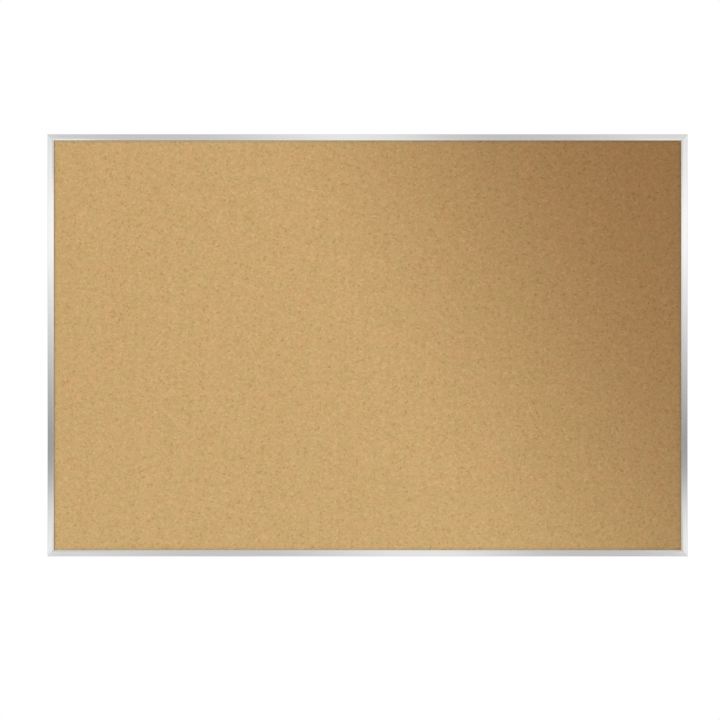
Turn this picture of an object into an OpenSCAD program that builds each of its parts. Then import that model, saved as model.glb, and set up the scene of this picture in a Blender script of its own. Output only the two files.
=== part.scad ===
// Cork bulletin board: a cork sheet on a fibreboard core, held in a mitred
// sectional aluminium frame, with two keyhole hangers that slide in the
// frame's rear channel.
//
// The board stands upright. X runs along its width, Z is up, and it faces -Y.
// The origin is on the wall plane, behind the middle of the board.
//
// The frame is drawn as a cross-section with two measures:
//   u  how far inwards from the outer side of the frame
//   v  how far backwards from the front face of the frame

/* [Board] */
// Width over the frame
board_w = 914.4; // [700:0.1:1800]
// Height over the frame
board_h = 603.3; // [450:0.1:1200]

/* [Panel] */
// Thickness of the cork sheet
cork_t = 3; // [1.5:0.1:6]
// Thickness of the fibreboard core
core_t = 6; // [4:0.1:12]
// Thickness of the backing paper
paper_t = 0.2; // [0.1:0.05:0.5]
// Play between the panel's edge and the frame's outer wall
panel_play = 0.5; // [0.2:0.1:0.8]

/* [Frame section] */
// Width of the face that shows from the front
face_w = 9; // [8.2:0.1:12]
// Width of the sloping inner band of the face
bevel_w = 2.6; // [1.5:0.1:3]
// How far the sloping band falls back
bevel_drop = 1.6; // [0.5:0.1:1.8]
// From the front face back to the cork
lip_drop = 3.2; // [2.4:0.1:4]
// Thickness of the outer wall
wall_t = 1.4; // [1:0.1:1.6]
// Thickness of the face
face_t = 1.2; // [0.8:0.1:1.4]
// Radius of the front outer edge
edge_r = 0.7; // [0.2:0.1:0.8]

/* [Rear channel] */
// Width inside the channel
channel_w = 7.8; // [7.4:0.1:10]
// Depth inside the channel
channel_d = 3.3; // [3.2:0.1:5]
// Thickness of the web between the panel and the channel
web_t = 1; // [0.8:0.1:1.5]
// Thickness of the channel's inner wall
inner_wall_t = 1; // [0.8:0.1:1.5]
// Thickness of the two lips
lip_t = 1.1; // [1:0.1:1.5]
// Width of the open slot between the lips
slot_w = 4.8; // [4.6:0.1:5.4]
// Width of the hairline at each mitre
mitre_gap = 0.06; // [0.02:0.01:0.2]

/* [Corner hardware] */
// Length of each leg of a corner key
key_leg = 38; // [32:1:45]
// Thickness of a corner key
key_t = 1.8; // [1.2:0.1:2]
// Thickness of the shim under a corner key
shim_t = 1; // [0.5:0.1:1]
// From the frame's corner to a clamp screw
key_screw_at = 25; // [18:1:28]
// Radius of every screw's shank
shank_r = 1.6; // [1.2:0.1:1.7]
// Radius of every screw's head
head_r = 2.1; // [1.9:0.1:2.2]
// Height of every screw's head
head_h = 0.9; // [0.6:0.1:1]

/* [Spring clips] */
// Gap that the clips press across
clip_gap = 1.2; // [1.1:0.1:2.5]
// Thickness of the spring steel
clip_t = 0.4; // [0.3:0.1:0.5]
// Length of a clip
clip_len = 42; // [30:1:60]
// Width of a clip
clip_w = 11; // [8:1:14]
// From the middle of a long rail to its outer clips
clip_at_x = 290; // [150:10:300]
// From the middle of a short rail to its clips
clip_at_z = 140; // [60:10:180]

/* [Hangers] */
// Distance between the two keyholes as delivered
hanger_spacing = 406.4; // [300:0.1:410]
// Thickness of the hanger's steel
hanger_t = 1.5; // [1.2:0.1:1.6]
// Width of the tab that hangs on the wall screw
tab_w = 34; // [26:1:40]
// Length of the foot that slides in the channel
foot_w = 54; // [52:1:60]
// How far down the tab reaches from the frame's top
tab_reach = 44; // [40:1:60]
// Radius of the keyhole's round entry
entry_r = 4.5; // [4:0.1:5]
// Radius of the keyhole's narrow end
seat_r = 2.3; // [2:0.1:2.5]
// From the frame's top down to the round entry
entry_at = 32; // [30:0.5:34]
// From the frame's top down to the narrow end
seat_at = 21; // [18:0.5:22]

/* [Bumpers] */
// Height of the rubber bumpers, which sets the wall plane
bumper_h = 2; // [1.8:0.1:4]
// Radius of a bumper
bumper_r = 4.5; // [3:0.1:5]
// From the frame's side to a bumper
bumper_at = 60; // [50:1:80]

/* [Hidden] */
$fn = 48;

// Colours
aluminium = [0.84, 0.85, 0.86];
cork_tan = [0.79, 0.66, 0.44];
fibre_brown = [0.52, 0.41, 0.28];
paper_brown = [0.69, 0.56, 0.39];
zinc = [0.70, 0.71, 0.70];
spring_steel = [0.52, 0.53, 0.55];
rubber_black = [0.10, 0.10, 0.10];

// Stack from the front face backwards, as values of v
core_v = lip_drop + cork_t;
paper_v = core_v + core_t;
clip_v = paper_v + paper_t;
web_v = clip_v + clip_gap;
channel_v = web_v + web_t;
lip_v = channel_v + channel_d;
frame_depth = lip_v + lip_t;
total_depth = frame_depth + bumper_h;

// Across the section, as values of u
channel_end_u = wall_t + channel_w;
section_w = channel_end_u + inner_wall_t;
ledge_w = (channel_w - slot_w) / 2;
slot_mid_u = wall_t + channel_w / 2;

panel_w = board_w - 2 * (wall_t + panel_play);
panel_h = board_h - 2 * (wall_t + panel_play);

plate_play = 0.2;   // beside a plate in the channel
slide_play = 0.1;   // above and below a sliding plate
thread_play = 0.05; // between a shank and its hole
key_w = channel_w - 2 * plate_play;
tab_v = frame_depth + slide_play;
head_v = lip_v + slide_play + head_h;
foot_v = lip_v - slide_play - hanger_t;
tab_r = 6;          // rounding of the tab's lower corners
foot_r = 1.5;       // rounding of the foot's corners
relief_w = 0.8;     // width of the bend relief beside the neck
relief_d = 2.5;     // depth of that relief, back from the neck's far side
screw_slot_w = 0.7; // driver slot in a screw head
clip_inset = 1;     // from the panel's edge to a clip
bumper_edge_r = 1;  // rounding of a bumper's edge
over = 1;           // how far a cutting tool runs past
join = 0.1;         // overlap between two parts of one solid

// Y of a depth v behind the front face
function y_at(v) = v - total_depth;

// Puts a shape drawn for the bottom rail on another side of the frame.
module on_side(turn) {
    rotate([0, turn, 0]) children();
}

// Puts a shape drawn for the bottom left corner on another corner.
module on_corner(side, level) {
    mirror([side > 0 ? 1 : 0, 0, 0])
    mirror([0, 0, level > 0 ? 1 : 0])
    translate([-board_w / 2, 0, -board_h / 2])
    children();
}

// A plate lying in the board's plane, from an outline in X and Z, from depth v back by t.
module plate(v, t) {
    translate([0, y_at(v) + t, 0])
    rotate([90, 0, 0])
    linear_extrude(t)
    children();
}

// ---- Panel ----

module panel_layer(v, t) {
    plate(v, t) square([panel_w, panel_h], center = true);
}

module cork_sheet() {
    color(cork_tan) panel_layer(lip_drop, cork_t);
}

module fibreboard_core() {
    color(fibre_brown) panel_layer(core_v, core_t);
}

module backing_paper() {
    color(paper_brown) panel_layer(paper_v, paper_t);
}

// ---- Frame ----

// Outer wall and face, with a sloping inner band that ends on the cork
module front_section() {
    flat_w = face_w - bevel_w;
    nose_w = 1.1;
    difference() {
        square([wall_t, frame_depth]);
        square(edge_r);
    }
    intersection() {
        translate([edge_r, edge_r]) circle(r = edge_r);
        square(edge_r);
    }
    translate([edge_r, 0]) square([flat_w - edge_r, face_t]);
    polygon([
        [flat_w - over, 0],
        [flat_w, 0],
        [face_w, bevel_drop],
        [face_w, lip_drop],
        [face_w - nose_w, lip_drop],
        [flat_w - over, face_t]
    ]);
}

// Rear channel, open at the back between two lips
module channel_section() {
    translate([wall_t - join, web_v]) square([section_w - wall_t + join, web_t]);
    translate([channel_end_u, web_v]) square([inner_wall_t, frame_depth - web_v]);
    translate([wall_t - join, lip_v]) square([ledge_w + join, lip_t]);
    translate([channel_end_u - ledge_w, lip_v]) square([ledge_w + join, lip_t]);
}

// The whole section, with u along X and v along Y
module frame_section() {
    front_section();
    channel_section();
}

// What the mitre saw leaves of a rail, as an outline in X and Z
module mitred_outline(length) {
    half = length / 2 - mitre_gap / 2;
    run = section_w + over;
    polygon([[-half, 0], [half, 0], [half - run, run], [-half + run, run]]);
}

// A rail along the bottom of a frame whose middle is rise above its outer side
module rail(length, rise) {
    color(aluminium)
    translate([0, 0, -rise])
    intersection() {
        translate([length / 2, y_at(0), 0])
        rotate([0, -90, 0])
        linear_extrude(length)
        frame_section();
        plate(-over, frame_depth + 2 * over)
        mitred_outline(length);
    }
}

module top_rail() { on_side(180) rail(board_w, board_h / 2); }
module bottom_rail() { on_side(0) rail(board_w, board_h / 2); }
module left_rail() { on_side(90) rail(board_h, board_w / 2); }
module right_rail() { on_side(-90) rail(board_h, board_w / 2); }

// ---- Corner hardware ----

// An L that lies in the channel round the bottom left corner
module corner_outline() {
    edge = wall_t + plate_play;
    translate([edge, edge]) square([key_leg, key_w]);
    translate([edge, edge]) square([key_w, key_leg]);
}

// The two places of a corner's clamp screws
module at_clamp_screws() {
    translate([key_screw_at, slot_mid_u]) children();
    translate([slot_mid_u, key_screw_at]) children();
}

// The plate that the screws draw against the lips
module corner_key(side, level) {
    color(zinc)
    on_corner(side, level)
    plate(lip_v - key_t, key_t)
    difference() {
        corner_outline();
        at_clamp_screws() circle(r = shank_r + thread_play);
    }
}

// The plate that the screws push against the web
module corner_shim(side, level) {
    color(zinc)
    on_corner(side, level)
    plate(channel_v, shim_t)
    corner_outline();
}

// A slotted screw along +Y, from its tip at depth tip_v to the top of its head at depth head_v
module slotted_screw(tip_v, head_v) {
    difference() {
        union() {
            plate(tip_v, head_v - tip_v) circle(r = shank_r);
            plate(head_v - head_h, head_h) circle(r = head_r);
        }
        plate(head_v - head_h / 2, head_h) square([2 * head_r + over, screw_slot_w], center = true);
    }
}

// The screws that clamp a corner key and its shim apart in the channel
module clamp_screws(side, level) {
    tip_v = channel_v + shim_t;
    color(zinc)
    on_corner(side, level) {
        translate([key_screw_at, 0, slot_mid_u]) slotted_screw(tip_v, head_v);
        translate([slot_mid_u, 0, key_screw_at]) slotted_screw(tip_v, head_v);
    }
}

// ---- Spring clips ----

// A bowed strip that lies across the gap between panel and web, on the bottom rail
module spring_clip() {
    play = 0.03;
    rise = clip_gap - clip_t - 2 * play;
    bow_r = (pow(clip_len / 2, 2) + pow(rise, 2)) / (2 * rise);
    edge = wall_t + panel_play + clip_inset;
    translate([0, y_at(clip_v + play), edge])
    intersection() {
        translate([0, bow_r, 0])
        difference() {
            cylinder(r = bow_r, h = clip_w, $fn = 720);
            translate([0, 0, -over]) cylinder(r = bow_r - clip_t, h = clip_w + 2 * over, $fn = 720);
        }
        translate([-clip_len / 2, -over, 0]) cube([clip_len, clip_gap + over, clip_w]);
    }
}

// The clip at a place along one side of the frame, whose rail lies reach from the middle
module side_clip(turn, reach, place) {
    color(spring_steel)
    on_side(turn)
    translate([place, 0, -reach]) spring_clip();
}

// x is -1 for the left clip, 0 for the middle one and 1 for the right one. z is 1 on the top
// rail and -1 on the bottom rail.
module long_rail_clip(x, z) {
    side_clip(z > 0 ? 180 : 0, board_h / 2, -z * x * clip_at_x);
}

// x is 1 on the right rail and -1 on the left rail. z is 1 for the upper clip and -1 for the lower.
module short_rail_clip(x, z) {
    side_clip(-90 * x, board_w / 2, x * z * clip_at_z);
}

// ---- Hangers ----

// The next three are drawn with Z falling from the frame's top, so Z is -u.

// A rectangle with rounded corners, from low u to high u
module rounded_outline(width, low_u, high_u, r) {
    half = width / 2;
    translate([-half, -high_u + r]) square([width, high_u - low_u - 2 * r]);
    translate([-half + r, -high_u]) square([width - 2 * r, high_u - low_u]);
    for (x = [-half + r, half - r], z = [-low_u - r, -high_u + r])
        translate([x, z]) circle(r = r);
}

module keyhole_outline() {
    translate([0, -entry_at]) circle(r = entry_r);
    translate([-seat_r, -entry_at]) square([2 * seat_r, entry_at - seat_at]);
    translate([0, -seat_at]) circle(r = seat_r);
}

// From the middle of a hanger to its two lock screws
function lock_screw_at() = tab_w / 2 + (foot_w - tab_w) / 4;

// A hanger's foot: two full ears and, between them, a strip that ends at the neck
module foot_outline(neck_end_u) {
    foot_u = wall_t + plate_play;
    cut_w = tab_w + 2 * relief_w;
    difference() {
        rounded_outline(foot_w, foot_u, foot_u + key_w, foot_r);
        translate([-cut_w / 2, -neck_end_u - key_w]) square([cut_w, key_w]);
        for (x = [-1, 1]) {
            translate([x * (tab_w + relief_w) / 2 - relief_w / 2, -neck_end_u - over])
                square([relief_w, over + relief_d]);
            translate([x * lock_screw_at(), -slot_mid_u]) circle(r = shank_r + thread_play);
        }
    }
}

// Foot in the channel, neck through the slot, and tab with its keyhole behind the frame
module hanger_plate(side) {
    neck_u = wall_t + ledge_w + slot_w - hanger_t - plate_play;
    color(zinc)
    translate([side * hanger_spacing / 2, 0, board_h / 2]) {
        plate(foot_v, hanger_t) foot_outline(neck_u + hanger_t);
        plate(foot_v, tab_v + hanger_t - foot_v)
        translate([-tab_w / 2, -neck_u - hanger_t]) square([tab_w, hanger_t]);
        plate(tab_v, hanger_t)
        difference() {
            union() {
                rounded_outline(tab_w, neck_u, tab_reach, tab_r);
                translate([-tab_w / 2, -neck_u - 2 * tab_r]) square([tab_w, 2 * tab_r]);
            }
            keyhole_outline();
        }
    }
}

// The screws that lock a hanger against the channel's web
module hanger_screws(side) {
    color(zinc)
    for (x = [-1, 1])
        translate([side * hanger_spacing / 2 + x * lock_screw_at(), 0, board_h / 2 - slot_mid_u])
        slotted_screw(channel_v + thread_play, head_v);
}

// ---- Bumpers ----

// A round rubber foot on the lips of a long rail
module bumper(side, level) {
    flat_r = bumper_r - bumper_edge_r;
    color(rubber_black)
    on_corner(side, level)
    translate([bumper_at, y_at(frame_depth), slot_mid_u])
    rotate([-90, 0, 0])
    rotate_extrude() {
        square([bumper_r, bumper_h - bumper_edge_r]);
        square([flat_r, bumper_h]);
        translate([flat_r, bumper_h - bumper_edge_r])
        intersection() {
            circle(r = bumper_edge_r);
            square(bumper_edge_r);
        }
    }
}

cork_sheet();
fibreboard_core();
backing_paper();
top_rail();
bottom_rail();
left_rail();
right_rail();
corner_key(-1, 1);  // top_left_corner_key
corner_key(1, 1);  // top_right_corner_key
corner_key(-1, -1);  // bottom_left_corner_key
corner_key(1, -1);  // bottom_right_corner_key
corner_shim(-1, 1);  // top_left_corner_shim
corner_shim(1, 1);  // top_right_corner_shim
corner_shim(-1, -1);  // bottom_left_corner_shim
corner_shim(1, -1);  // bottom_right_corner_shim
clamp_screws(-1, 1);  // top_left_clamp_screws
clamp_screws(1, 1);  // top_right_clamp_screws
clamp_screws(-1, -1);  // bottom_left_clamp_screws
clamp_screws(1, -1);  // bottom_right_clamp_screws
long_rail_clip(-1, 1);  // top_left_spring_clip
long_rail_clip(0, 1);  // top_middle_spring_clip
long_rail_clip(1, 1);  // top_right_spring_clip
long_rail_clip(-1, -1);  // bottom_left_spring_clip
long_rail_clip(0, -1);  // bottom_middle_spring_clip
long_rail_clip(1, -1);  // bottom_right_spring_clip
short_rail_clip(-1, 1);  // left_upper_spring_clip
short_rail_clip(-1, -1);  // left_lower_spring_clip
short_rail_clip(1, 1);  // right_upper_spring_clip
short_rail_clip(1, -1);  // right_lower_spring_clip
hanger_plate(-1);  // left_hanger_plate
hanger_plate(1);  // right_hanger_plate
hanger_screws(-1);  // left_hanger_screws
hanger_screws(1);  // right_hanger_screws
bumper(-1, 1);  // top_left_bumper
bumper(1, 1);  // top_right_bumper
bumper(-1, -1);  // bottom_left_bumper
bumper(1, -1);  // bottom_right_bumper
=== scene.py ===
"""Cork bulletin board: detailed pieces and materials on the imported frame.

Metres, in the CAD's row frame: X along the width, Z up, and the board faces -Y.
The frame's section is given as in the CAD source, in millimetres:
  u  inwards from the outer side of the frame
  v  backwards from the front face of the frame
"""
import math

import bmesh
import bpy
import numpy as np
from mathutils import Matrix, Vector

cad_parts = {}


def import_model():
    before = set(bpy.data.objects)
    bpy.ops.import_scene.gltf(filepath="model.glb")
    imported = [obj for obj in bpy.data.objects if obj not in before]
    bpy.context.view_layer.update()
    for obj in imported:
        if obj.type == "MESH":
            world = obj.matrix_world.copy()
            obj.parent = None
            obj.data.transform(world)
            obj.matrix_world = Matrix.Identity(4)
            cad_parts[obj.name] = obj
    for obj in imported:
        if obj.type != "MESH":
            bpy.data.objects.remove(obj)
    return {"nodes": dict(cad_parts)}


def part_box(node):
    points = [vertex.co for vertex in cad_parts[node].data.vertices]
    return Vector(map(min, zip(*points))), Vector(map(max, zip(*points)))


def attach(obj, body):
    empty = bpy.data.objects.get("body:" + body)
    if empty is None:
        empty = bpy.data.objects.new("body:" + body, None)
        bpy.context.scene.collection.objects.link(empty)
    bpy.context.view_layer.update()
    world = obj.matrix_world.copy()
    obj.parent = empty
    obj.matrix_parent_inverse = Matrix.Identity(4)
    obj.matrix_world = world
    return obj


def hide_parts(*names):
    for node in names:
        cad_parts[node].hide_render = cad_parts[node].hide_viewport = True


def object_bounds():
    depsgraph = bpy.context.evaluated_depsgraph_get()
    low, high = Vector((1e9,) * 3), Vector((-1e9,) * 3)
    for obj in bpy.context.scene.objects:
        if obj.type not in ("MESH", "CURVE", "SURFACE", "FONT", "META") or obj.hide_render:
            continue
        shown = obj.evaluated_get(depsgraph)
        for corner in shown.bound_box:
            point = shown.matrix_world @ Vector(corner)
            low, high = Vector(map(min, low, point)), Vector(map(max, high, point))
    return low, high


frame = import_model()
cad_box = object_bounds()

MM = 0.001
BOARD_W = cad_box[1].x - cad_box[0].x
BOARD_H = cad_box[1].z - cad_box[0].z
FRONT_Y = cad_box[0].y

# The frame's section, in millimetres
FRAME_DEPTH = 19.0
FACE_W, BEVEL_W, BEVEL_DROP, LIP_DROP = 9.0, 2.6, 1.6, 3.2
WALL_T, FACE_T, NOSE_W = 1.4, 1.2, 1.1
WEB_V, CHANNEL_V, LIP_V = 13.6, 14.6, 17.9
CHANNEL_W, INNER_WALL_T, LEDGE_W = 7.8, 1.0, 1.5
SLOPE_BACK = 1.0    # the slope under the bevel starts this far before the flat face ends
MITRE_GAP, MITRE_CHAMFER = 0.06, 0.1
OUTER_R, SOFT_R, TIGHT_R = 0.7, 0.3, 0.2    # roundings of the section's corners

# The painted shade on the cork beside the frame's lip, in metres: full up to the first, gone at the
# second
LIP_PAINTED_SHADE_W, LIP_PAINTED_SHADE_END = 0.0024, 0.0042

# The spring clips, in millimetres
CLIP_LEN, CLIP_W, CLIP_T, CLIP_U = 42.0, 11.0, 0.4, 2.9
CLIP_V, CLIP_RISE = 12.43, 0.74
CLIP_AT_X, CLIP_AT_Z = 290.0, 140.0
CLIP_CORNER_R, CLIP_EDGE, CLIP_CUTS = 2.0, 0.08, 21

# The hangers, in millimetres
HANGER_T, HANGER_AT = 1.5, 203.2
FOOT_W, FOOT_U, FOOT_END_U, FOOT_V = 54.0, 1.6, 9.0, 16.3
TAB_W, TAB_END_U, TAB_V = 34.0, 44.0, 19.1
RELIEF_W, RELIEF_END_U = 0.8, 5.0
BEND_U, BEND_R = 5.7, 1.05
ENTRY_R, ENTRY_U, SEAT_R, SEAT_U = 4.5, 32.0, 2.3, 21.0
LOCK_SCREW_X, LOCK_HOLE_R, SLOT_MID_U = 22.0, 1.65, 5.3
FOOT_CORNER_R, TAB_CORNER_R, SLIT_CORNER_R = 1.5, 6.0, 0.35
HANGER_EDGE, BEND_CUTS, KEYHOLE_STEPS = 0.15, 17, 36

# Short straight spans in each rounding of the rails' section, and of the sheet metal's outlines
SECTION_STEPS, PRESS_STEPS = 5, 6

# An edge that turns by more than this stays sharp on the layers, and is eased on the CAD parts
SHARP_ANGLE = math.radians(40)


# ---- Node materials ----

class Nodes:
    """A node tree, built a node at a time. A value is a number, a colour or a node's output."""

    def __init__(self, tree):
        self.tree = tree

    def add(self, kind, inputs=None, **settings):
        """A node with its settings, and inputs that are values or other nodes' outputs."""
        node = self.tree.nodes.new(kind)
        for key, value in settings.items():
            setattr(node, key, value)
        for key, value in (inputs or {}).items():
            self.join(value, node.inputs[key])
        return node

    def join(self, value, socket):
        """Links a node's output to a socket, or sets the socket to a plain value."""
        if isinstance(value, bpy.types.NodeSocket):
            self.tree.links.new(value, socket)
        else:
            socket.default_value = value

    def math(self, operation, *values):
        """One step of arithmetic on one to three values."""
        return self.add("ShaderNodeMath", dict(enumerate(values)), operation=operation).outputs[0]

    def spread(self, value, low, high, to_low=0.0, to_high=1.0):
        """The value moved from one range to another, and held inside it."""
        return self.add("ShaderNodeMapRange", {
            "Value": value, "From Min": low, "From Max": high,
            "To Min": to_low, "To Max": to_high}).outputs[0]

    def axes(self, vector):
        """A vector's X, Y and Z."""
        return self.add("ShaderNodeSeparateXYZ", {0: vector}).outputs

    def ramp(self, value, stops, interpolation="LINEAR"):
        """A colour for each part of the range 0 to 1, from (position, (r, g, b))."""
        node = self.add("ShaderNodeValToRGB", {0: value})
        node.color_ramp.interpolation = interpolation
        elements = node.color_ramp.elements
        while len(elements) < len(stops):
            elements.new(1.0)
        for element, (position, colour) in zip(elements, stops):
            element.position = position
            element.color = (*colour, 1.0)
        return node.outputs[0]

    def mix(self, blend, factor, first, second):
        """The second colour laid over the first."""
        node = self.add("ShaderNodeMix", data_type="RGBA", blend_type=blend)
        self.join(factor, node.inputs["Factor"])
        colours = [s for s in node.inputs if s.type == "RGBA"]
        for socket, value in zip(colours, (first, second)):
            self.join(value if isinstance(value, bpy.types.NodeSocket) else (*value, 1.0), socket)
        return [s for s in node.outputs if s.type == "RGBA"][0]

    def times(self, first, second):
        """Two colours multiplied."""
        return self.mix("MULTIPLY", 1.0, first, second)


class Look(Nodes):
    """One procedural material."""

    def __init__(self, name, **shader):
        self.material = bpy.data.materials.new(name)
        self.material.use_nodes = True
        super().__init__(self.material.node_tree)
        self.shader = self.tree.nodes["Principled BSDF"]
        for key, value in shader.items():
            self.shader.inputs[key.replace("_", " ").title()].default_value = value
        self.place = self.add("ShaderNodeTexCoord").outputs["Object"]

    def stretched(self, scale, vector=None):
        """A place, times a scale per axis."""
        return self.add("ShaderNodeVectorMath", {0: vector or self.place, 1: scale},
                        operation="MULTIPLY").outputs[0]

    def shaken(self, noise_scale, distance):
        """The place, moved about by soft noise over a distance."""
        wobble = self.noise(noise_scale, 2.0, output="Color")
        return self.add("ShaderNodeVectorMath", {0: wobble, 1: (distance,) * 3, 2: self.place},
                        operation="MULTIPLY_ADD").outputs[0]

    def noise(self, scale, detail=3.0, rough=0.55, vector=None, output="Fac"):
        """Cloudy noise. Its scale is features per metre, or per unit of another vector."""
        found = self.add("ShaderNodeTexNoise", {
            "Vector": self.place if vector is None else vector,
            "Scale": scale, "Detail": detail, "Roughness": rough})
        return found.outputs[output]

    def fibres(self, detail, scale, vector=None):
        """Noise drawn out along the axes that have a low scale."""
        return self.noise(1.0, detail, vector=self.stretched(scale, vector))

    def cells(self, scale, feature="F1", vector=None, output="Color"):
        """Irregular cells. Their scale is cells per metre, or per unit of another vector."""
        found = self.add("ShaderNodeTexVoronoi", {
            "Vector": self.place if vector is None else vector, "Scale": scale},
            feature=feature)
        return found.outputs[output]

    def split(self, colour):
        """A colour's three channels, used as three random values per cell."""
        return self.add("ShaderNodeSeparateColor", {0: colour}).outputs

    def bump(self, height, depth, under=None):
        """A normal from a height, on top of another normal if there is one."""
        inputs = {"Height": height, "Distance": depth}
        if under is not None:
            inputs["Normal"] = under
        return self.add("ShaderNodeBump", inputs).outputs[0]

    def painted_lip_shade(self):
        """1 beside the frame's lip, falling to 0 inside: the mask of the cork's painted shade along the
        lip.
        """
        axes = self.axes(self.place)
        past = [self.math("SUBTRACT", self.math("ABSOLUTE", axes[axis]), size / 2 - FACE_W * MM)
                for axis, size in (("X", BOARD_W), ("Z", BOARD_H))]
        return self.spread(self.math("MAXIMUM", *past), -LIP_PAINTED_SHADE_END, -LIP_PAINTED_SHADE_W)

    def finish(self, colour, roughness=None, normal=None):
        """Feeds the shader, and gives the material."""
        for value, key in ((colour, "Base Color"), (roughness, "Roughness"), (normal, "Normal")):
            if value is not None:
                self.join(value, self.shader.inputs[key])
        return self.material


def grey(value, tint=(1.0, 1.0, 1.0)):
    """A grey, or a tint at that strength."""
    return tuple(value * t for t in tint)


def greys(*stops):
    """A ramp's stops, from (position, grey)."""
    return [(position, grey(value)) for position, value in stops]


def granule(amount):
    """A cork tone lighter or darker by an amount: the darker, the browner."""
    return (1.0 + amount * 0.77, 1.0 + amount, 1.0 + amount * 1.45)


def cork_look():
    """Fine pressed granules: mostly tan, some light, some dark bark, and faint wide blotches, with
    painted shade beside the frame's lip.
    """
    base = (0.520, 0.346, 0.149)
    look = Look("cork", roughness=0.88)
    look.shader.inputs["Specular IOR Level"].default_value = 0.25
    granules, fragments = 420.0, 900.0    # per metre
    place = look.shaken(700.0, 0.0011)
    grain = look.split(look.cells(granules, vector=place))
    crumbs = look.split(look.cells(fragments, vector=place))
    tan = look.ramp(grain[0], [
        (0.00, granule(-0.25)), (0.03, granule(-0.15)), (0.12, granule(-0.06)),
        (0.50, granule(0.0)), (0.85, granule(0.045)), (1.00, granule(0.13))])
    fine = look.ramp(crumbs[1], [
        (0.00, granule(-0.10)), (0.15, granule(-0.035)), (0.60, granule(0.0)), (1.00, granule(0.04))])
    hue = look.ramp(look.noise(50.0, 3.0), [
        (0.30, (0.963, 1.004, 0.940)), (0.50, (1.0, 1.0, 1.0)), (0.70, (1.039, 0.986, 1.000))])
    shade = look.ramp(look.noise(120.0, 2.0), [
        (0.30, granule(-0.035)), (0.50, granule(0.0)), (0.70, granule(0.030))])
    streaks = look.ramp(look.fibres(2.0, (150.0, 150.0, 5.0)), [
        (0.30, granule(-0.014)), (0.70, granule(0.014))])
    colour = base
    for tone in (tan, fine, hue, shade, streaks):
        colour = look.times(colour, tone)
    seams = look.cells(granules, feature="DISTANCE_TO_EDGE", vector=place, output="Distance")
    colour = look.mix("MULTIPLY", look.spread(seams, 0.0, 0.08, 0.22, 0.0), colour, granule(-0.30))
    # Painted shade: the cork is darkened beside the frame's lip, where the lip's shadow falls.
    colour = look.mix("MULTIPLY", look.painted_lip_shade(), colour, (0.86, 0.93, 1.10))
    pits = look.spread(look.noise(1500.0, 3.0, 0.6), 0.35, 0.60)
    normal = look.bump(pits, 0.00005)
    normal = look.bump(look.spread(seams, 0.0, 0.10), 0.00006, under=normal)
    rough = look.spread(crumbs[2], 0.0, 1.0, 0.80, 0.95)
    return look.finish(colour, rough, normal)


def aluminium_look(name, along, base):
    """Satin anodised aluminium, with faint drawing lines along one axis of the rail."""
    look = Look(name, metallic=1.0)
    stretch = tuple(18.0 if axis == along else 2600.0 for axis in "XYZ")
    lines = look.fibres(3.0, stretch)
    smudge = look.noise(14.0, 3.0)
    colour = look.ramp(lines, greys((0.28, base * 0.93), (0.50, base), (0.72, base * 1.04)))
    colour = look.times(colour, look.ramp(smudge, [
        (0.35, (0.975, 0.980, 0.985)), (0.65, grey(1.0))]))
    rough = look.spread(lines, 0.25, 0.75, 0.22, 0.30)
    rough = look.math("ADD", rough, look.spread(smudge, 0.3, 0.7, -0.02, 0.03))
    return look.finish(colour, rough, look.bump(lines, 0.00001))


def plated_look(name, base, tint, rough_low, rough_high):
    """Zinc-plated steel: a faint cloudy tint, fine pitting and short scratches."""
    look = Look(name, metallic=1.0)
    cloud = look.noise(160.0, 3.0)
    colour = look.ramp(cloud, [
        (0.30, grey(base * 0.90, tint)), (0.52, grey(base)), (0.75, grey(base * 1.08))])
    scratch = look.fibres(2.0, (260.0, 2200.0, 2200.0))
    pits = look.noise(2600.0, 2.0)
    rough = look.spread(cloud, 0.3, 0.7, rough_low, rough_high)
    rough = look.math("ADD", rough, look.spread(scratch, 0.45, 0.75, 0.0, 0.12))
    height = look.math("ADD", scratch, pits)
    return look.finish(colour, rough, look.bump(height, 0.00002))


def spring_look():
    """Blued spring steel, rolled along the strip and a little browned by its tempering."""
    look = Look("spring_steel", metallic=1.0)
    lines = look.fibres(3.0, (180.0, 900.0, 900.0))
    heat = look.noise(60.0, 2.0)
    colour = look.times(
        look.ramp(lines, [(0.3, (0.30, 0.32, 0.35)), (0.7, (0.42, 0.44, 0.47))]),
        look.ramp(heat, [(0.35, (1.0, 0.94, 0.84)), (0.65, (0.92, 0.97, 1.0))]))
    rough = look.spread(lines, 0.3, 0.7, 0.28, 0.42)
    return look.finish(colour, rough, look.bump(lines, 0.00001))


def paper_look():
    """Brown kraft paper: fibres mostly along the roll, fine flecks and uneven pulp."""
    look = Look("kraft_paper")
    wander = look.shaken(60.0, 0.006)
    pulp = look.noise(48.0, 5.0, 0.65)
    colour = look.ramp(pulp, [
        (0.32, (0.425, 0.285, 0.148)), (0.50, (0.445, 0.302, 0.160)), (0.68, (0.468, 0.322, 0.174))])
    long_fibres = look.fibres(3.0, (260.0, 260.0, 1900.0), wander)
    short_fibres = look.noise(1100.0, 3.0, 0.6, vector=wander)
    for fibres, contrast in ((long_fibres, 0.07), (short_fibres, 0.06)):
        colour = look.times(colour, look.ramp(fibres, greys(
            (0.30, 1.0 - contrast), (0.50, 1.0), (0.70, 1.0 + contrast))))
    flecks = look.cells(1.0, vector=look.stretched((800.0, 800.0, 2600.0), wander))
    colour = look.mix("MULTIPLY", look.spread(look.split(flecks)[0], 0.965, 0.990), colour,
                      (0.82, 0.77, 0.70))
    rough = look.spread(pulp, 0.3, 0.7, 0.76, 0.88)
    height = look.math("ADD", short_fibres, long_fibres)
    return look.finish(colour, rough, look.bump(height, 0.00004))


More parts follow.
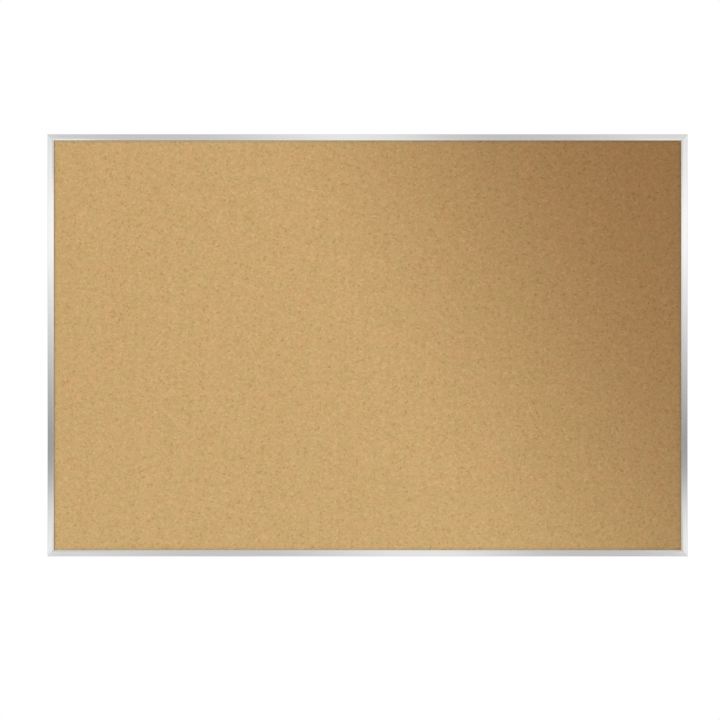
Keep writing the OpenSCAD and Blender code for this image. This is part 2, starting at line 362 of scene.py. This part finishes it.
def fibreboard_look():
    """Soft brown fibreboard: matted fibres, darker clumps and open pores."""
    look = Look("fibreboard")
    clumps = look.noise(150.0, 4.0, 0.65)
    fibres = look.fibres(3.0, (320.0, 1400.0, 1100.0))
    colour = look.times(
        look.ramp(clumps, [(0.3, (0.185, 0.120, 0.062)), (0.7, (0.300, 0.205, 0.112))]),
        look.ramp(fibres, greys((0.3, 0.85), (0.7, 1.1))))
    rough = look.spread(clumps, 0.3, 0.7, 0.86, 0.96)
    height = look.math("ADD", fibres, look.spread(clumps, 0.3, 0.45))
    return look.finish(colour, rough, look.bump(height, 0.00008))


def rubber_look():
    """Black moulded rubber with a dusty bloom and fine pores."""
    look = Look("rubber")
    bloom = look.noise(500.0, 4.0, 0.6)
    colour = look.ramp(bloom, [(0.3, (0.016, 0.016, 0.017)), (0.7, (0.040, 0.039, 0.038))])
    rough = look.spread(bloom, 0.3, 0.7, 0.62, 0.82)
    return look.finish(colour, rough, look.bump(look.noise(3500.0, 2.0), 0.00003))


# The plated steels take a base tone, a tint and their lowest and highest roughness.
LOOKS = {
    "cork": cork_look(),
    "fibreboard": fibreboard_look(),
    "paper": paper_look(),
    # The top and bottom rails take a darker base (0.80) than the side rails (0.88): painted shade,
    # standing in for how differently the two directions of rail reflect the studio.
    "aluminium_x": aluminium_look("aluminium_x", "X", 0.80),
    "aluminium_z": aluminium_look("aluminium_z", "Z", 0.88),
    "zinc_steel": plated_look("zinc_steel", 0.62, (1.0, 0.98, 0.93), 0.30, 0.40),
    "screw_steel": plated_look("screw_steel", 0.66, (1.0, 0.96, 0.88), 0.22, 0.32),
    "spring_steel": spring_look(),
    "rubber": rubber_look(),
}


# ---- Pieces ----

def piece(name, mesh, body, nodes, slot, look=None):
    """A finished piece: its material, the body that it rides on and the CAD nodes it stands for."""
    made = bpy.data.objects.new(name, mesh)
    bpy.context.scene.collection.objects.link(made)
    mesh.materials.append(LOOKS[look or slot])
    mesh.shade_smooth()
    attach(made, body)
    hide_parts(*nodes)
    return made


def weigh_normals(made):
    """Flat faces stay flat, and roundings shade smoothly into them."""
    made.modifiers.new("normals", "WEIGHTED_NORMAL").keep_sharp = True


def on_side(side, s, u, v):
    """A point at s along a side of the frame, u inwards and v backwards, in metres."""
    along, y = s * MM, FRONT_Y + v * MM
    if side in ("bottom", "top"):
        turn = 1.0 if side == "bottom" else -1.0
        return Vector((turn * along, y, turn * (u * MM - BOARD_H / 2)))
    turn = 1.0 if side == "left" else -1.0
    return Vector((turn * (u * MM - BOARD_W / 2), y, -turn * along))


# ---- Rails ----

def rail_corners():
    """The rail's section once round, as (u, v, radius of the corner)."""
    flat_end = FACE_W - BEVEL_W
    channel_end = WALL_T + CHANNEL_W
    section_w = channel_end + INNER_WALL_T
    soft, tight = SOFT_R, TIGHT_R
    return [
        (0.0, 0.0, OUTER_R),
        (flat_end, 0.0, soft),
        (FACE_W, BEVEL_DROP, soft),
        (FACE_W, LIP_DROP, tight),
        (FACE_W - NOSE_W, LIP_DROP, tight),
        (flat_end - SLOPE_BACK, FACE_T, soft),
        (WALL_T, FACE_T, soft),
        (WALL_T, WEB_V, soft),
        (section_w, WEB_V, soft),
        (section_w, FRAME_DEPTH, soft),
        (channel_end - LEDGE_W, FRAME_DEPTH, tight),
        (channel_end - LEDGE_W, LIP_V, tight),
        (channel_end, LIP_V, soft),
        (channel_end, CHANNEL_V, soft),
        (WALL_T, CHANNEL_V, soft),
        (WALL_T, LIP_V, soft),
        (WALL_T + LEDGE_W, LIP_V, tight),
        (WALL_T + LEDGE_W, FRAME_DEPTH, tight),
        (0.0, FRAME_DEPTH, soft),
    ]


def fillet(corners, steps):
    """Rounds the corners of a closed outline, each given as (u, v, radius)."""
    points = []
    for i, (u, v, radius) in enumerate(corners):
        here = Vector((u, v))
        before = (Vector(corners[i - 1][:2]) - here).normalized()
        after = (Vector(corners[(i + 1) % len(corners)][:2]) - here).normalized()
        half = before.angle(after) / 2
        centre = here + (before + after).normalized() * radius / math.sin(half)
        spoke = here + before * radius / math.tan(half) - centre
        sweep = math.pi - 2 * half
        if before.cross(after) > 0:
            sweep = -sweep
        for k in range(steps + 1):
            a = sweep * k / steps
            points.append((centre.x + spoke.x * math.cos(a) - spoke.y * math.sin(a),
                           centre.y + spoke.x * math.sin(a) + spoke.y * math.cos(a)))
    return points


def inset(points, distance):
    """The outline moved inwards by a distance."""
    moved = []
    for i, (u, v) in enumerate(points):
        before, after = points[i - 1], points[(i + 1) % len(points)]
        du, dv = after[0] - before[0], after[1] - before[1]
        length = math.hypot(du, dv)
        moved.append((u - dv / length * distance, v + du / length * distance))
    return moved


def rail(side):
    """An extruded rail with filleted edges, mitred and lightly deburred at both ends."""
    length = (BOARD_W if side in ("top", "bottom") else BOARD_H) / MM
    section = fillet(rail_corners(), SECTION_STEPS)
    burr = inset(section, MITRE_CHAMFER)
    half = (length - MITRE_GAP) / 2
    spans = 18
    bm = bmesh.new()
    rings = [[bm.verts.new(on_side(side, u - half, u, v)) for u, v in burr]]
    for k in range(spans + 1):
        t = 2.0 * k / spans - 1.0
        rings.append([bm.verts.new(on_side(side, t * (half - MITRE_CHAMFER - u), u, v))
                      for u, v in section])
    rings.append([bm.verts.new(on_side(side, half - u, u, v)) for u, v in burr])
    for near, far in zip(rings, rings[1:]):
        for i in range(len(section)):
            j = (i + 1) % len(section)
            bm.faces.new((near[i], far[i], far[j], near[j]))
    ends = [bm.faces.new(rings[0]), bm.faces.new(rings[-1][::-1])]
    bmesh.ops.triangulate(bm, faces=ends, ngon_method="EAR_CLIP")
    bmesh.ops.recalc_face_normals(bm, faces=bm.faces)
    mesh = bpy.data.meshes.new(f"{side}_rail_extrusion")
    bm.to_mesh(mesh)
    bm.free()
    look = "aluminium_x" if side in ("top", "bottom") else "aluminium_z"
    weigh_normals(piece(mesh.name, mesh, "board", [f"{side}_rail"], "aluminium", look))


for side in ("top", "bottom", "left", "right"):
    rail(side)


# ---- Panel ----

def ease(t):
    """A soft step from 0 to 1."""
    t = np.clip(t, 0.0, 1.0)
    return t * t * (3.0 - 2.0 * t)


def lumps(x, z, size, seed):
    """Smooth random heights from 0 to 1 with bumps about size wide."""
    rng = np.random.default_rng(seed)
    columns = int(np.ceil((x.max() - x.min()) / size)) + 2
    rows = int(np.ceil((z.max() - z.min()) / size)) + 2
    heights = rng.random((rows, columns))
    fx, fz = (x - x.min()) / size, (z - z.min()) / size
    ix, iz = fx.astype(int), fz.astype(int)
    tx, tz = ease(fx - ix), ease(fz - iz)
    low = heights[iz, ix] * (1 - tx) + heights[iz, ix + 1] * tx
    high = heights[iz + 1, ix] * (1 - tx) + heights[iz + 1, ix + 1] * tx
    return low * (1 - tz) + high * tz


def slab_faces(ids):
    """Faces that close a grid of points with the four corner points numbered after it."""
    back = ids.size
    quads = np.stack([ids[:-1, :-1], ids[:-1, 1:], ids[1:, 1:], ids[1:, :-1]], -1).reshape(-1, 4)
    faces = quads.tolist()
    for i, line in enumerate([ids[0, :], ids[:, -1], ids[-1, ::-1], ids[::-1, 0]]):
        here, there = back + i, back + (i + 1) % 4
        middle = len(line) // 2
        for k in range(len(line) - 1):
            faces.append([int(line[k + 1]), int(line[k]), here if k < middle else there])
        faces.append([int(line[middle]), here, there])
    faces.append([back + 3, back + 2, back + 1, back])
    return faces


def layer(name, node, slot, facing, relief, step, flat_rim):
    """A sheet whose one face is a fine grid with relief, sunk or raised, and whose other face is flat.

    facing is -1 for relief on the front and 1 for relief on the back. relief(x, z) gives how
    far the face stands out. step is the grid's spacing. The rim is flat, and the relief rises
    over as much again inside it.
    """
    low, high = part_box(node)
    columns = round((high.x - low.x) / step)
    rows = round((high.z - low.z) / step)
    x, z = np.meshgrid(np.linspace(low.x, high.x, columns + 1),
                       np.linspace(low.z, high.z, rows + 1))
    edge = np.minimum.reduce([x - low.x, high.x - x, z - low.z, high.z - z])
    rise = relief(x, z) * ease((edge - flat_rim) / flat_rim)
    face_y, flat_y = (low.y, high.y) if facing < 0 else (high.y, low.y)
    grid = np.stack([x, face_y + facing * rise, z], -1).reshape(-1, 3)
    corners = [(low.x, flat_y, low.z), (high.x, flat_y, low.z),
               (high.x, flat_y, high.z), (low.x, flat_y, high.z)]
    faces = slab_faces(np.arange(x.size).reshape(x.shape))
    if facing > 0:
        faces = [face[::-1] for face in faces]
    mesh = bpy.data.meshes.new(name)
    mesh.from_pydata(np.vstack([grid, corners]).tolist(), [], faces)
    piece(name, mesh, "board", [node], slot)
    mesh.set_sharp_from_angle(angle=SHARP_ANGLE)


def cork_relief(x, z):
    """Sanded granules lie a little below the surface, never above it."""
    return -0.00007 * lumps(x, z, 0.0050, 3) - 0.00005 * lumps(x, z, 0.0026, 5)


def core_relief(x, z):
    """The core's matted face is a little sunk in places."""
    return -0.00008 * lumps(x, z, 0.012, 7)


def paper_relief(x, z):
    """Glued kraft paper stands off its board in long shallow waves."""
    return 0.00016 * lumps(x, z, 0.060, 11) + 0.00006 * lumps(x, z, 0.022, 13)


layer("cork_face", "cork_sheet", "cork", -1, cork_relief, step=0.0025, flat_rim=0.006)
layer("core_panel", "fibreboard_core", "fibreboard", -1, core_relief, step=0.008, flat_rim=0.008)
layer("kraft_backing", "backing_paper", "paper", 1, paper_relief, step=0.006, flat_rim=0.012)


# ---- Sheet metal ----

def rounded(x0, y0, x1, y1, radius):
    """A rectangle with rounded corners, counter-clockwise."""
    box = [(x0, y0, radius), (x1, y0, radius), (x1, y1, radius), (x0, y1, radius)]
    return fillet(box, PRESS_STEPS)


def circle(x, y, radius, steps=40):
    """A circle's points, counter-clockwise."""
    return [(x + radius * math.cos(2 * math.pi * k / steps),
             y + radius * math.sin(2 * math.pi * k / steps)) for k in range(steps)]


def blank(outlines, thickness, edge, cuts_x=(), cuts_y=()):
    """A flat pressing in millimetres from closed outlines, with eased edges, cut across for bending."""
    near = edge / 20    # points closer than this are one
    curve = bpy.data.curves.new("blank", "CURVE")
    curve.dimensions = "2D"
    curve.fill_mode = "BOTH"
    curve.extrude = thickness / 2 - edge
    curve.bevel_depth = edge
    curve.bevel_resolution = 2
    curve.offset = -edge
    for outline in outlines:
        spline = curve.splines.new("POLY")
        spline.points.add(len(outline) - 1)
        for point, (x, y) in zip(spline.points, outline):
            point.co = (x, y, 0.0, 1.0)
        spline.use_cyclic_u = True
    holder = bpy.data.objects.new("blank", curve)
    bpy.context.scene.collection.objects.link(holder)
    seen = holder.evaluated_get(bpy.context.evaluated_depsgraph_get())
    flat = bpy.data.meshes.new_from_object(seen)
    bm = bmesh.new()
    bm.from_mesh(flat)
    bpy.data.objects.remove(holder)
    bpy.data.curves.remove(curve)
    bpy.data.meshes.remove(flat)
    bmesh.ops.remove_doubles(bm, verts=bm.verts, dist=near)
    for axis, places in ((0, cuts_x), (1, cuts_y)):
        for place in places:
            at, normal = Vector(), Vector()
            at[axis], normal[axis] = place, 1.0
            bmesh.ops.bisect_plane(bm, geom=bm.verts[:] + bm.edges[:] + bm.faces[:], dist=near,
                                   plane_co=at, plane_no=normal)
    bmesh.ops.dissolve_degenerate(bm, edges=bm.edges, dist=near)
    return bm


def to_mesh(bm, name):
    """A closed shape's mesh, with every face outwards."""
    bmesh.ops.recalc_face_normals(bm, faces=bm.faces)
    if bm.calc_volume(signed=True) < 0:
        bmesh.ops.reverse_faces(bm, faces=bm.faces)
    mesh = bpy.data.meshes.new(name)
    bm.to_mesh(mesh)
    bm.free()
    return mesh


def spring_clip(name, side, place):
    """A bowed strip, crowned towards the panel, at a place along one side of the frame."""
    half = CLIP_LEN / 2
    bow_r = (half ** 2 + CLIP_RISE ** 2) / (2 * CLIP_RISE)
    bm = blank([rounded(-half, CLIP_U, half, CLIP_U + CLIP_W, CLIP_CORNER_R)], CLIP_T, CLIP_EDGE,
               cuts_x=np.linspace(-half, half, CLIP_CUTS + 2)[1:-1])
    for vert in bm.verts:
        s, u, t = vert.co
        sag = bow_r - math.sqrt(bow_r ** 2 - s ** 2)
        vert.co = on_side(side, place + s, u, CLIP_V + CLIP_T / 2 + sag + t)
    mesh = to_mesh(bm, f"{name}_bowed_clip")
    weigh_normals(piece(mesh.name, mesh, "board", [f"{name}_spring_clip"], "spring_steel"))


def hanger_outlines():
    """The hanger's blank, laid flat: ears and foot at low s, then the neck and the keyhole tab."""
    ear, tab, gap = FOOT_W / 2, TAB_W / 2, RELIEF_W
    grown = flat_length(TAB_END_U) - TAB_END_U
    corner, slit = FOOT_CORNER_R, SLIT_CORNER_R
    outside = fillet([
        (-ear, FOOT_U, corner), (ear, FOOT_U, corner), (ear, FOOT_END_U, corner),
        (tab + gap, FOOT_END_U, slit), (tab + gap, RELIEF_END_U, slit), (tab, RELIEF_END_U, slit),
        (tab, TAB_END_U + grown, TAB_CORNER_R), (-tab, TAB_END_U + grown, TAB_CORNER_R),
        (-tab, RELIEF_END_U, slit), (-tab - gap, RELIEF_END_U, slit),
        (-tab - gap, FOOT_END_U, slit), (-ear, FOOT_END_U, corner)], PRESS_STEPS)
    entry, seat = ENTRY_U + grown, SEAT_U + grown
    meet = math.asin(SEAT_R / ENTRY_R)
    steps = KEYHOLE_STEPS
    keyhole = []
    for k in range(steps + 1):
        a = -math.pi / 2 + meet + (2 * math.pi - 2 * meet) * k / steps
        keyhole.append((ENTRY_R * math.cos(a), entry + ENTRY_R * math.sin(a)))
    for k in range(steps // 2 + 1):
        a = math.pi + math.pi * k / (steps // 2)
        keyhole.append((SEAT_R * math.cos(a), seat + SEAT_R * math.sin(a)))
    holes = [circle(x, SLOT_MID_U, LOCK_HOLE_R) for x in (-LOCK_SCREW_X, LOCK_SCREW_X)]
    return [outside, keyhole, *holes]


def neck_length():
    """The straight stretch between the hanger's two bends."""
    return TAB_V - FOOT_V - 2 * BEND_R


def flat_length(u):
    """How far along the blank the tab's u lies, past both bends."""
    return BEND_U + math.pi * BEND_R + neck_length() + u - (BEND_U + 2 * BEND_R)


def bent(s, t):
    """Where a point at s along the blank, t behind its middle, goes when it is bent: (u, v)."""
    middle = FOOT_V + HANGER_T / 2
    quarter = math.pi / 2 * BEND_R
    if s <= BEND_U:
        return s, middle + t
    s -= BEND_U
    if s <= quarter:
        a = s / BEND_R
        return (BEND_U + (BEND_R - t) * math.sin(a),
                middle + BEND_R - (BEND_R - t) * math.cos(a))
    s -= quarter
    if s <= neck_length():
        return BEND_U + BEND_R - t, middle + BEND_R + s
    s -= neck_length()
    top = middle + BEND_R + neck_length()
    if s <= quarter:
        a = s / BEND_R
        return (BEND_U + 2 * BEND_R - (BEND_R + t) * math.cos(a),
                top + (BEND_R + t) * math.sin(a))
    return BEND_U + 2 * BEND_R + s - quarter, top + BEND_R + t


def hanger(side):
    """A pressed steel hanger whose tab is bent back and down behind the frame."""
    sign = -1.0 if side == "left" else 1.0
    bends_end = flat_length(BEND_U + 2 * BEND_R)
    bm = blank(hanger_outlines(), HANGER_T, HANGER_EDGE,
               cuts_y=np.linspace(BEND_U, bends_end, BEND_CUTS))
    for vert in bm.verts:
        x, s, t = vert.co
        if abs(x) < (TAB_W + RELIEF_W) / 2:
            u, v = bent(s, t)
        else:
            u, v = s, FOOT_V + HANGER_T / 2 + t
        vert.co = Vector((sign * HANGER_AT * MM + x * MM, FRONT_Y + v * MM, BOARD_H / 2 - u * MM))
    mesh = to_mesh(bm, f"{side}_hanger_pressing")
    weigh_normals(piece(mesh.name, mesh, f"{side}_hanger", [f"{side}_hanger_plate"], "zinc_steel"))


for name, x in (("left", -CLIP_AT_X), ("middle", 0.0), ("right", CLIP_AT_X)):
    spring_clip(f"top_{name}", "top", -x)
    spring_clip(f"bottom_{name}", "bottom", x)
for name, z in (("upper", CLIP_AT_Z), ("lower", -CLIP_AT_Z)):
    spring_clip(f"left_{name}", "left", -z)
    spring_clip(f"right_{name}", "right", z)
hanger("left")
hanger("right")


# ---- CAD parts that stay ----

def dress(node, look, edge):
    """Gives a CAD part its material and eases its sharp edges."""
    part = frame["nodes"][node]
    part.data.materials.clear()
    part.data.materials.append(LOOKS[look])
    part.modifiers.new("weld", "WELD").merge_threshold = 1e-6
    bevel = part.modifiers.new("edges", "BEVEL")
    bevel.width = edge
    bevel.segments = 2
    bevel.limit_method = "ANGLE"
    bevel.angle_limit = SHARP_ANGLE
    bevel.harden_normals = True


for name in frame["nodes"]:
    if name.endswith(("_corner_key", "_corner_shim")):
        dress(name, "zinc_steel", edge=0.00015)
    elif name.endswith("_screws"):
        dress(name, "screw_steel", edge=0.00008)
    elif name.endswith("_bumper"):
        dress(name, "rubber", edge=0.0001)


# ---- Stage ----

def stage_card(name, corners, material):
    """A flat stage object from its corner points."""
    mesh = bpy.data.meshes.new(name)
    mesh.from_pydata(corners, [], [list(range(len(corners)))])
    mesh.materials.append(material)
    made = bpy.data.objects.new(name, mesh)
    bpy.context.scene.collection.objects.link(made)
    return made


def only_for(made, *rays):
    """Leaves a stage card visible to these kinds of ray alone."""
    for ray in ("camera", "diffuse", "glossy", "transmission", "volume_scatter", "shadow"):
        setattr(made, f"visible_{ray}", ray in rays)


# The floor is solid in the middle, and fades into the white round it.
FLOOR_Z, FLOOR_SOLID_R, FLOOR_R = -0.72, 0.9, 2.2

# The key light comes from the upper left. A card in its way dims the board's upper right.
# The card's shadow edge runs from SHADE_A to SHADE_B on the board, in X and Z.
TO_KEY = Vector((-0.50, -1.0, 0.32)).normalized()
TO_BACK_FILL = Vector((-0.35, 1.0, 0.55))
FLAG_AT, FLAG_REACH, FLAG_W = 0.79, 0.85, 0.65
SHADE_A, SHADE_B = Vector((0.1106, 0.2847)), Vector((0.3820, -0.2353))

# The gel stands just in front of the frame. Its tones run over plus and minus GEL_X and GEL_Z
# from the middle, lean with the height, change over softly at the mitres, and stop inside the
# frame.
GEL_GAP, GEL_HALF_W, GEL_HALF_H = 0.03, 0.54, 0.40
GEL_X, GEL_Z = 0.5, 0.30
GEL_LEAN, GEL_MITRE_SOFT = 0.185, 0.01
GEL_CLEAR_FROM, GEL_CLEAR_AT = 0.10, 0.14


def floor():
    """A pale round floor that reflections don't see."""
    look = Look("floor", roughness=0.9)
    tone = look.ramp(look.noise(3.0, 2.0), [
        (0.3, (0.80, 0.890, 0.930)), (0.7, (0.82, 0.910, 0.950))])
    from_middle = look.add("ShaderNodeVectorMath", {0: look.place, 1: (0.0, 0.0, FLOOR_Z)},
                           operation="DISTANCE").outputs["Value"]
    look.join(look.spread(from_middle, FLOOR_R, FLOOR_SOLID_R), look.shader.inputs["Alpha"])
    corners = [(x, y, FLOOR_Z) for x, y in circle(0.0, 0.0, FLOOR_R, steps=96)]
    stage_card("floor", corners, look.finish(tone)).visible_glossy = False


def light(name, toward, strength, colour, angle):
    """A distant light as wide as an angle, which reflections don't see."""
    data = bpy.data.lights.new(name, "SUN")
    data.energy, data.color, data.angle = strength, colour, angle
    made = bpy.data.objects.new(name, data)
    made.rotation_euler = toward.to_track_quat("Z", "Y").to_euler()
    made.visible_glossy = False
    bpy.context.scene.collection.objects.link(made)


def key_flag():
    """The card in the key light's way. It is seen by shadow rays alone."""
    look = Look("black_card", roughness=1.0)
    look.shader.inputs["Base Color"].default_value = (0.0, 0.0, 0.0, 1.0)
    shift = Vector((TO_KEY.x, TO_KEY.z)) * FLAG_AT / -TO_KEY.y
    along = (SHADE_B - SHADE_A).normalized()
    across = Vector((-along.y, along.x))
    middle = (SHADE_A + SHADE_B) / 2 + shift
    near, far = middle - along * FLAG_REACH, middle + along * FLAG_REACH
    points = [near, far, far + across * FLAG_W, near + across * FLAG_W]
    corners = [(point.x, FRONT_Y - FLAG_AT, point.y) for point in points]
    only_for(stage_card("key_flag", corners, look.material), "shadow")


def world():
    """White to the camera, soft and even on matt surfaces, and graded for what metal reflects."""
    made = bpy.data.worlds.new("studio")
    bpy.context.scene.world = made
    made.use_nodes = True
    made.node_tree.nodes.clear()
    nodes = Nodes(made.node_tree)

    def from_0_to_1(direction):
        """A direction's part along an axis, moved from -1..1 to 0..1."""
        return nodes.math("MULTIPLY_ADD", direction, 0.5, 0.5)

    def background(colour, strength=1.0):
        """Light of one colour from all round."""
        return nodes.add("ShaderNodeBackground", {"Color": colour, "Strength": strength}).outputs[0]

    def either(first, second, test):
        """The second background where the test is 1, else the first."""
        return nodes.add("ShaderNodeMixShader", {0: test, 1: first, 2: second}).outputs[0]

    # A bevel mirrors the far side: the left one the right edge, and the right one the left edge.
    way = nodes.axes(nodes.add("ShaderNodeTexCoord").outputs["Generated"])
    left_edge, right_edge = (1.24, 1.11, 1.00), (1.36, 1.24, 1.13)
    top_edge, bottom_edge = (1.02, 0.98, 0.91), (1.05, 1.01, 0.95)
    front, back, far_side = (1.13, 1.135, 1.14), (0.62, 0.63, 0.64), (0.55, 0.56, 0.57)
    near_edge, shoulder, far_level, between = grey(0.90), grey(0.97), grey(0.80), grey(0.92)
    sides = nodes.ramp(from_0_to_1(way["X"]), [
        (0.00, far_side), (0.055, left_edge), (0.14, near_edge), (0.36, shoulder),
        (0.46, front), (0.54, front), (0.64, shoulder), (0.86, near_edge),
        (0.945, right_edge), (1.00, far_side)])
    levels = nodes.ramp(from_0_to_1(way["Z"]), [
        (0.00, far_level), (0.06, bottom_edge), (0.30, between), (0.50, grey(1.0)),
        (0.70, between), (0.94, top_edge), (1.00, far_level)])
    depths = nodes.ramp(from_0_to_1(way["Y"]), [
        (0.50, grey(1.0)), (0.80, grey(0.85)), (1.00, back)])
    soft = background((0.532, 0.400, 0.352, 1.0), 1.12)
    gloss = background(nodes.times(nodes.times(sides, levels), depths))
    white = background((1.0, 1.0, 1.0, 1.0))
    path = nodes.add("ShaderNodeLightPath").outputs
    lit = either(soft, gloss, path["Is Glossy Ray"])
    nodes.add("ShaderNodeOutputWorld", {"Surface": either(lit, white, path["Is Camera Ray"])})


def shine_gel():
    """A graded sheet in front of the frame that only the rails' reflections pass through."""
    look = Look("shine_gel")
    axes = look.axes(look.place)
    slant = look.math("ADD", axes["X"], look.math("MULTIPLY", axes["Z"], GEL_LEAN))
    level = look.ramp(look.spread(slant, -GEL_X, GEL_X), greys(
        (0.06, 0.80), (0.16, 0.68), (0.26, 0.65), (0.36, 0.71), (0.46, 0.91), (0.53, 0.96),
        (0.61, 0.88), (0.69, 0.65), (0.77, 0.63), (0.85, 0.67), (0.94, 0.82)), "B_SPLINE")
    upright = look.ramp(look.spread(axes["Z"], -GEL_Z, GEL_Z), greys(
        (0.02, 0.93), (0.11, 0.76), (0.18, 0.48), (0.25, 0.34), (0.33, 0.42), (0.42, 0.54),
        (0.50, 0.67), (0.58, 0.78), (0.68, 0.94), (0.76, 1.05), (0.86, 0.97),
        (0.97, 0.85)), "B_SPLINE")
    to_side, to_end = [look.math("SUBTRACT", size / 2, look.math("ABSOLUTE", axes[axis]))
                       for axis, size in (("X", BOARD_W), ("Z", BOARD_H))]
    beside = look.spread(look.math("SUBTRACT", to_end, to_side), -GEL_MITRE_SOFT, GEL_MITRE_SOFT)
    inside = look.spread(look.math("MINIMUM", to_side, to_end), GEL_CLEAR_FROM, GEL_CLEAR_AT)
    tone = look.mix("MIX", inside, look.mix("MIX", beside, level, upright), grey(1.0))
    clear = look.add("ShaderNodeBsdfTransparent", {0: tone})
    look.join(clear.outputs[0], look.tree.nodes["Material Output"].inputs["Surface"])
    corners = [(x * GEL_HALF_W, FRONT_Y - GEL_GAP, z * GEL_HALF_H)
               for x, z in ((-1, -1), (1, -1), (1, 1), (-1, 1))]
    only_for(stage_card("shine_gel", corners, look.material), "glossy")


floor()
light("key", TO_KEY, strength=2.50, colour=(0.788, 0.926, 1.0), angle=math.radians(30))
light("back_fill", TO_BACK_FILL, strength=1.5, colour=(0.80, 0.95, 1.0), angle=math.radians(60))
key_flag()
world()
shine_gel()


# ---- Camera ----

VIEW_W = 1.0285          # width seen at the frame's front face
CAMERA_BACK = 8.0        # from the frame's front face
CAMERA_X, CAMERA_Z = -0.0108, -0.0210
SENSOR_W = 36.0
camera_data = bpy.data.cameras.new("camera")
camera_data.sensor_width = SENSOR_W
camera_data.lens = SENSOR_W * CAMERA_BACK / VIEW_W
camera = bpy.data.objects.new("camera", camera_data)
camera.location = (CAMERA_X, FRONT_Y - CAMERA_BACK, CAMERA_Z)
camera.rotation_euler = (math.pi / 2, 0.0, 0.0)
bpy.context.scene.collection.objects.link(camera)
bpy.context.scene.camera = camera
bpy.context.scene.view_settings.view_transform = "Standard"

bpy.context.view_layer.update()
